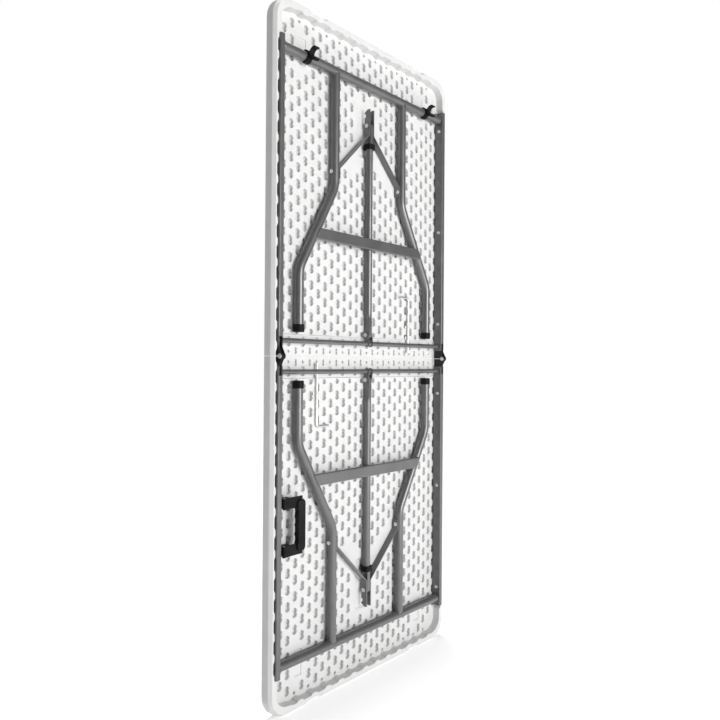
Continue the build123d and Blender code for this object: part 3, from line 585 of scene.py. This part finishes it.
def column_dimples(column, places):
    """Dimples of one column, from the fold to the end: place, radius and lobe spread."""
    x = COLUMN_PITCH * (column + 0.5)
    odd = column % 2 == 1
    in_trough = abs(x) < TROUGH_HALF_WIDTH - TROUGH_MARGIN
    found = []
    if in_trough:
        found.append((x, *(TROUGH_DIMPLE_ODD if odd else TROUGH_DIMPLE_EVEN)))
    if odd:
        found.append((x, *FIRST_DIMPLE_ODD))
    elif in_trough:
        found.append((x, *FIRST_DIMPLE_EVEN))
    row_start = ROW_START_ODD if odd else ROW_START_EVEN
    for row in range(1, ROWS):
        z = row_start + ROW_PITCH * row
        if z <= WALL_END - END_MARGIN and has_room(x, z, places):
            found.append((x, z, LOBE_R, LOBE_SPREAD))
    if odd and abs(x) < END_DIMPLE_REACH:
        found.append((x, *END_DIMPLE))
    return found


class Underside:
    """Contours of the underside with their depths, ready to be filled with triangles."""

    def __init__(self):
        self.points = []
        self.depths = []
        self.edges = []
        self.holes = []

    def add_points(self, path, depth):
        """Take in the points of a contour and return their numbers."""
        first = len(self.points)
        self.points += [Vector(point) for point in path]
        self.depths += [depth] * len(path)
        return list(range(first, first + len(path)))

    def add_path(self, path, depth, closed=False):
        """Contour that the surface bends along."""
        numbers = self.add_points(path, depth)
        self.edges += list(zip(numbers, numbers[1:]))
        if closed:
            self.edges.append((numbers[-1], numbers[0]))
        return numbers

    def add_hole(self, path, depth):
        """Contour that the surface leaves open, for a dimple."""
        self.holes.append(self.add_points(path, depth))


def underside_contours(places, hollows):
    """Every contour, with the numbers of the rim's points and of those on the fold line."""
    under = Underside()
    rim = under.add_path(outline_path(RIM_PROFILE[0][0]), EDGE_DEPTH)
    lines = [rim]
    lines += [under.add_path(wall_path(lean), depth) for lean, depth in WALL_LEVELS]
    lines += [under.add_path(trough_path(lean), depth) for lean, depth in TROUGH_LEVELS]
    fold_line = [line[-1] for line in lines] + [line[0] for line in reversed(lines)]
    under.edges += list(zip(fold_line, fold_line[1:]))
    pocket_z, pocket_half = places["pocket"]
    for lean, depth in POCKET_LEVELS:
        size = (POCKET_HALF_WIDTH - lean, pocket_half - lean, POCKET_R - lean)
        under.add_path(rounded_rectangle(0.0, pocket_z, *size), depth, closed=True)
    clip_x, clip_z = places["clip"]
    for side in SIDES.values():
        for lean, depth in CLIP_POCKET_LEVELS:
            half_size = (CLIP_POCKET_HALF_WIDTH - lean, CLIP_POCKET_HALF_LENGTH - lean)
            path = rounded_rectangle(side * clip_x, clip_z, *half_size, CLIP_POCKET_R - lean)
            under.add_path(path, depth, closed=True)
    for x, z, radius, spread in hollows:
        ground = FIELD_DEPTH if z > TROUGH_END else TROUGH_DEPTH
        under.add_hole(dimple_path(x, z, radius + DIMPLE_LEVELS[0][0], spread), ground)
    return under, rim, fold_line


def past_crest(corners):
    """Whether a triangle lies in a notch of the rim, outside the panel."""
    x = sum(corner.x for corner in corners) / 3
    z = sum(corner.y for corner in corners) / 3
    crest = HALF_LENGTH - RIM_PROFILE[0][0] - notch(x)
    return abs(x) < HALF_WIDTH - CORNER_R and z > crest


def fill_contours(builder, under, half):
    """Triangles between the contours; returns the vertex of every contour point."""
    flat_points, _, triangles, origins, _, owners = delaunay_2d_cdt(
        under.points, under.edges, under.holes, INSIDE_CONTOURS, CONTOUR_TOLERANCE, True
    )
    made = []
    vertex_of = {}
    for point, origin in zip(flat_points, origins):
        depth = under.depths[origin[0]] if origin else FIELD_DEPTH
        made.append(builder.verts.new(at(point.x, point.y, depth, half)))
        vertex_of.update((number, made[-1]) for number in origin)
    for triangle, owner in zip(triangles, owners):
        if not owner and not past_crest([flat_points[i] for i in triangle]):
            builder.faces.new([made[i] for i in triangle])
    return vertex_of


def bridge(builder, ring, inner, closed=True):
    """Faces between two rows of as many vertices."""
    for i in range(len(ring) if closed else len(ring) - 1):
        j = (i + 1) % len(ring)
        builder.faces.new([ring[i], ring[j], inner[j], inner[i]])


def sink_dimple(builder, ring, dimple, half):
    """Wall and floor of a dimple, from its contour; the deeper a vertex, the more painted shade it
    gets.
    """
    x, z, radius, spread = dimple
    shade = builder.verts.layers.float[RECESS_SHADE_LAYER]
    ground = FIELD_DEPTH if z > TROUGH_END else TROUGH_DEPTH
    for lean, level in DIMPLE_LEVELS[1:]:
        depth = max(level - (FIELD_DEPTH - ground), DIMPLE_TOP_LIMIT)
        path = dimple_path(x, z, radius + lean, spread)
        inner = [builder.verts.new(at(px, pz, depth, half)) for px, pz in path]
        for vertex in inner:
            # painted shade, darker the deeper the vertex
            vertex[shade] = smooth_step((ground - depth) / SHADE_DEPTH)
        bridge(builder, ring, inner)
        ring = inner
    builder.faces.new(ring)


def edge_profile():
    """Insets and depths of the skin from the crest of the rim, past the parting line, to the top."""
    parting = [
        (0.0, PARTING_DEPTH + PARTING_HALF),
        (PARTING_STEP, PARTING_DEPTH + PARTING_FLAT),
        (PARTING_STEP, PARTING_DEPTH - PARTING_FLAT),
        (0.0, PARTING_DEPTH - PARTING_HALF),
    ]
    rounded = arc(TOP_ROUND, TOP_ROUND, TOP_ROUND, 180.0, 270.0, TOP_ARC)
    return [*RIM_PROFILE[1:], *parting, *rounded, (TOP_ROUND + TOP_BORDER, 0.0)]


def wrap_edge(builder, ring, fold_line, half):
    """Outer edge and top face, from the crest of the rim, and the face along the fold."""
    left_edge = []
    right_edge = []
    for inset, depth in edge_profile():
        inner = [builder.verts.new(at(x, z, depth, half)) for x, z in outline_path(inset)]
        bridge(builder, ring, inner, closed=False)
        ring = inner
        left_edge.append(inner[0])
        right_edge.append(inner[-1])
    builder.faces.new(ring)
    builder.faces.new(left_edge + right_edge[::-1] + fold_line)


def panel_mesh(word):
    """The whole skin of one half's panel."""
    half = HALVES[word]
    places = panel_places(word)
    hollows = []
    for column in range(-COLUMNS // 2, COLUMNS // 2):
        hollows += column_dimples(column, places)
    under, rim, fold_line = underside_contours(places, hollows)
    builder = bmesh.new()
    # layer that holds the painted shade of the dimples
    builder.verts.layers.float.new(RECESS_SHADE_LAYER)
    vertex_of = fill_contours(builder, under, half)
    for hole, dimple in zip(under.holes, hollows):
        sink_dimple(builder, [vertex_of[i] for i in hole], dimple, half)
    wrap_edge(builder, [vertex_of[i] for i in rim], [vertex_of[i] for i in fold_line], half)
    bmesh.ops.remove_doubles(builder, verts=builder.verts, dist=SAME_PLACE)
    bmesh.ops.recalc_face_normals(builder, faces=builder.faces)
    return builder


def make_panels():
    """Both panels, each standing for its CAD node."""
    for word in HALVES:
        piece = add_piece(panel_mesh(word), f"{word}_moulded_panel", f"{word}_half", "panel_white")
        weighted = piece.modifiers.new("weighted", "WEIGHTED_NORMAL")
        weighted.keep_sharp = True
        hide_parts(f"{word}_panel")


# ------------------------------------------------------------------ small pieces and CAD nodes


def circle(radius, steps=LOOP_STEPS):
    """Points of a circle around nought."""
    turns = [math.tau * i / steps for i in range(steps)]
    return [(radius * math.cos(turn), radius * math.sin(turn)) for turn in turns]


def square_section(half, chamfer):
    """Square section with its corners cut off."""
    near = half - chamfer
    corners = [(half, -near), (half, near), (near, half), (-near, half)]
    return corners + [(-u, -v) for u, v in corners]


def add_loop(name, body, slot, points, section):
    """Closed bead along a loop of points; a section is given outward and sideways."""
    centre = sum(points, Vector()) / len(points)
    builder = bmesh.new()
    rings = []
    for i, point in enumerate(points):
        along = (points[(i + 1) % len(points)] - points[i - 1]).normalized()
        outward = point - centre
        outward = (outward - outward.dot(along) * along).normalized()
        sideways = along.cross(outward)
        places = [point + MM * (u * outward + v * sideways) for u, v in section]
        rings.append([builder.verts.new(place) for place in places])
    for i, ring in enumerate(rings):
        bridge(builder, ring, rings[(i + 1) % len(rings)])
    bmesh.ops.recalc_face_normals(builder, faces=builder.faces)
    return add_piece(builder, name, body, slot)


def weld_path(x, half):
    """Seam between a leg tube and the cross tube of the same size that it is welded to."""
    points = []
    for u, v in circle(TUBE_R):
        place = CROSS_TUBE_PLACE - math.hypot(u, WELD_ROUND)
        points.append(at(x + u, place, TUBE_DEPTH + v, half))
    return points


def add_cap_ribs(word, side):
    """Thin ribs around a foot cap."""
    x = SIDES[side] * FOOT_X
    for number, place in enumerate(CAP_RIB_PLACES):
        path = [at(x + u, place, TUBE_DEPTH + v, HALVES[word]) for u, v in circle(CAP_R)]
        section = circle(CAP_RIB_R, BEAD_SIDES)
        name = f"{word}_{side}_cap_rib_{number}"
        add_loop(name, f"{word}_leg", "black_plastic", path, section)


def add_collar(word, side):
    """Zinc collar around the end of a crossbar, between the walls of the rail."""
    x = SIDES[side] * COLLAR_X
    path = []
    for u, v in circle(COLLAR_R):
        path.append(at(x, CROSSBAR_PLACE + u, CROSSBAR_DEPTH + v, HALVES[word]))
    section = square_section(COLLAR_HALF, COLLAR_CHAMFER)
    add_loop(f"{word}_{side}_crossbar_collar", f"{word}_half", "zinc", path, section)


def make_small_pieces():
    """Welds of the leg tubes, ribs of the foot caps and collars of the crossbars."""
    for word, half in HALVES.items():
        for side, sign in SIDES.items():
            path = weld_path(sign * LEG_X, half)
            section = circle(WELD_R, BEAD_SIDES)
            add_loop(f"{word}_{side}_leg_weld", f"{word}_leg", "frame_grey", path, section)
            add_cap_ribs(word, side)
            add_collar(word, side)


def finish_nodes():
    """Give every CAD node that stays its material, by its slot."""
    slots = {entry["node"]: entry["material_slot"] for entry in frame["record"]["subparts"]}
    for name, node in frame["nodes"].items():
        node.data.materials.clear()
        node.data.materials.append(MATERIALS[slots[name]])


# ------------------------------------------------------------------ stage


def make_floor():
    """Plain pale floor, just under the table."""
    builder = bmesh.new()
    bmesh.ops.create_grid(
        builder, x_segments=FLOOR_CELLS, y_segments=FLOOR_CELLS, size=FLOOR_HALF_WIDTH
    )
    mesh = bpy.data.meshes.new("floor")
    builder.to_mesh(mesh)
    builder.free()
    floor = bpy.data.objects.new("floor", mesh)
    floor.location.z = cad_box[0].z - FLOOR_DROP
    mesh.materials.append(floor_paper())
    bpy.context.scene.collection.objects.link(floor)


def make_world():
    """World that the camera sees as plain white and that lights the table much less."""
    world = bpy.data.worlds.new("studio")
    bpy.context.scene.world = world
    world.use_nodes = True
    tree = world.node_tree
    glow = tree.nodes["Background"]
    glow.inputs["Color"].default_value = (1.0, 1.0, 1.0, 1.0)
    glow.inputs["Strength"].default_value = WORLD_LIGHT
    white = add_node(tree, "ShaderNodeBackground", {"Color": (1.0, 1.0, 1.0, 1.0)})
    rays = add_node(tree, "ShaderNodeLightPath")
    seen = add_node(tree, "ShaderNodeMixShader")
    tree.links.new(rays.outputs["Is Camera Ray"], seen.inputs["Fac"])
    tree.links.new(glow.outputs["Background"], seen.inputs[1])
    tree.links.new(white.outputs["Background"], seen.inputs[2])
    tree.links.new(seen.outputs["Shader"], tree.nodes["World Output"].inputs["Surface"])


def make_lights():
    """Wide lamp in front of the underside, and a soft one overhead."""
    add_light("key", "AREA", Vector(KEY_PLACE), KEY_POWER, shape="DISK", size=KEY_SIZE)
    angle = math.radians(SUN_ANGLE)
    add_light("sun", "SUN", Vector(SUN_PLACE), SUN_STRENGTH, angle=angle)


def add_light(name, kind, place, energy, **settings):
    """Light at a place; an area lamp points at the middle of the table, a sun at its foot."""
    light = bpy.data.lights.new(name, kind)
    light.energy = energy
    for key, value in settings.items():
        setattr(light, key, value)
    lamp = bpy.data.objects.new(name, light)
    lamp.location = place
    aim = Vector((0.0, 0.0, FOLD_Z)) if kind == "AREA" else Vector((0.0, 0.0, 0.0))
    lamp.rotation_euler = (aim - place).to_track_quat("-Z", "Y").to_euler()
    bpy.context.scene.collection.objects.link(lamp)


def make_camera():
    """Camera at the height of the fold, to the left of the underside."""
    yaw = math.radians(CAMERA_YAW)
    pitch = math.radians(CAMERA_PITCH)
    roll = math.radians(CAMERA_ROLL)
    forward = Vector(
        (math.sin(yaw) * math.cos(pitch), math.cos(yaw) * math.cos(pitch), math.sin(pitch))
    )
    level = Vector((math.cos(yaw), -math.sin(yaw), 0.0))
    upward = level.cross(forward)
    axis_x = level * math.cos(roll) + upward * math.sin(roll)
    axis_y = upward * math.cos(roll) - level * math.sin(roll)
    data = bpy.data.cameras.new("camera")
    data.lens = CAMERA_LENS
    data.sensor_width = SENSOR_WIDTH
    camera = bpy.data.objects.new("camera", data)
    axes = Matrix((axis_x, axis_y, -forward)).transposed().to_4x4()
    camera.matrix_world = Matrix.Translation(CAMERA_PLACE) @ axes
    bpy.context.scene.collection.objects.link(camera)
    bpy.context.scene.camera = camera


make_panels()
make_small_pieces()
finish_nodes()
make_floor()
make_world()
make_lights()
make_camera()
bpy.context.scene.view_settings.view_transform = "Standard"
